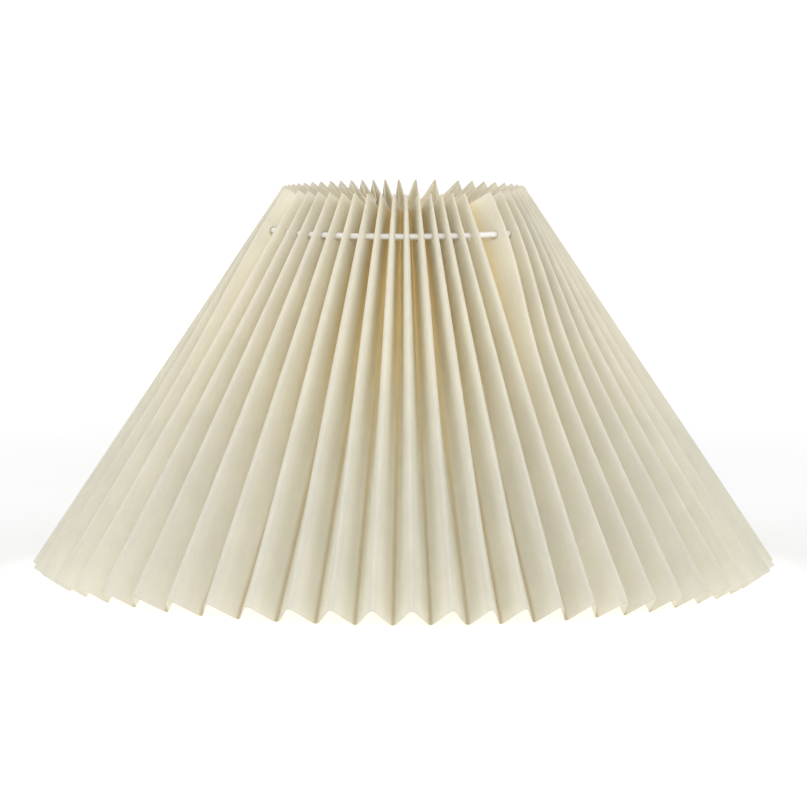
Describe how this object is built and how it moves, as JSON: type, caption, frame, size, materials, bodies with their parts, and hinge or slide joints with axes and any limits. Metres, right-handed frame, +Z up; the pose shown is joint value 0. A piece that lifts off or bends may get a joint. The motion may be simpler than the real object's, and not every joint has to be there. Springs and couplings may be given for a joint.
{
  "type": "pleated lamp shade",
  "caption": "Cream pleated empire lamp shade on a white neck ring, with a recessed three-armed carrier, a fitter ring and a lift-out reducer.",
  "frame": {"origin": "on the shade's axis, in the plane of the lowest fold tips of the wide lower edge", "axes": "+Z up along the shade's axis, from the wide lower edge to the neck; -Y is the side seen from the front; +X is to the right of that view"},
  "size_m": [0.4001, 0.4, 0.2118],
  "materials": {
    "laminate": "matte cream laminated fabric",
    "adhesive_tape": "matte",
    "coated_wire": "satin white coating",
    "crimped_steel": "satin",
    "clip_plastic": "satin white",
    "painted_wire": "satin white",
    "painted_sheet": "satin white",
    "reducer_plastic": "satin white"
  },
  "bodies": {
    "shade": {"pleated_strip_front": "laminate", "pleated_strip_back": "laminate", "seam_tape_left": "adhesive_tape", "seam_tape_right": "adhesive_tape", "neck_ring": "coated_wire", "ring_sleeve": "crimped_steel", "ring_clip_right": "clip_plastic", "ring_clip_back": "clip_plastic", "ring_clip_left": "clip_plastic", "carrier_arm_right": "painted_wire", "carrier_arm_back": "painted_wire", "carrier_arm_left": "painted_wire", "fitter_ring": "painted_sheet"},
    "reducer": {"reducer_ring": "reducer_plastic"}
  },
  "joints": [
    {"name": "reducer_lift", "type": "slide", "parent": "shade", "child": "reducer", "axis": [0, 0, 1], "range_m": [0, 0.02]}
  ]
}
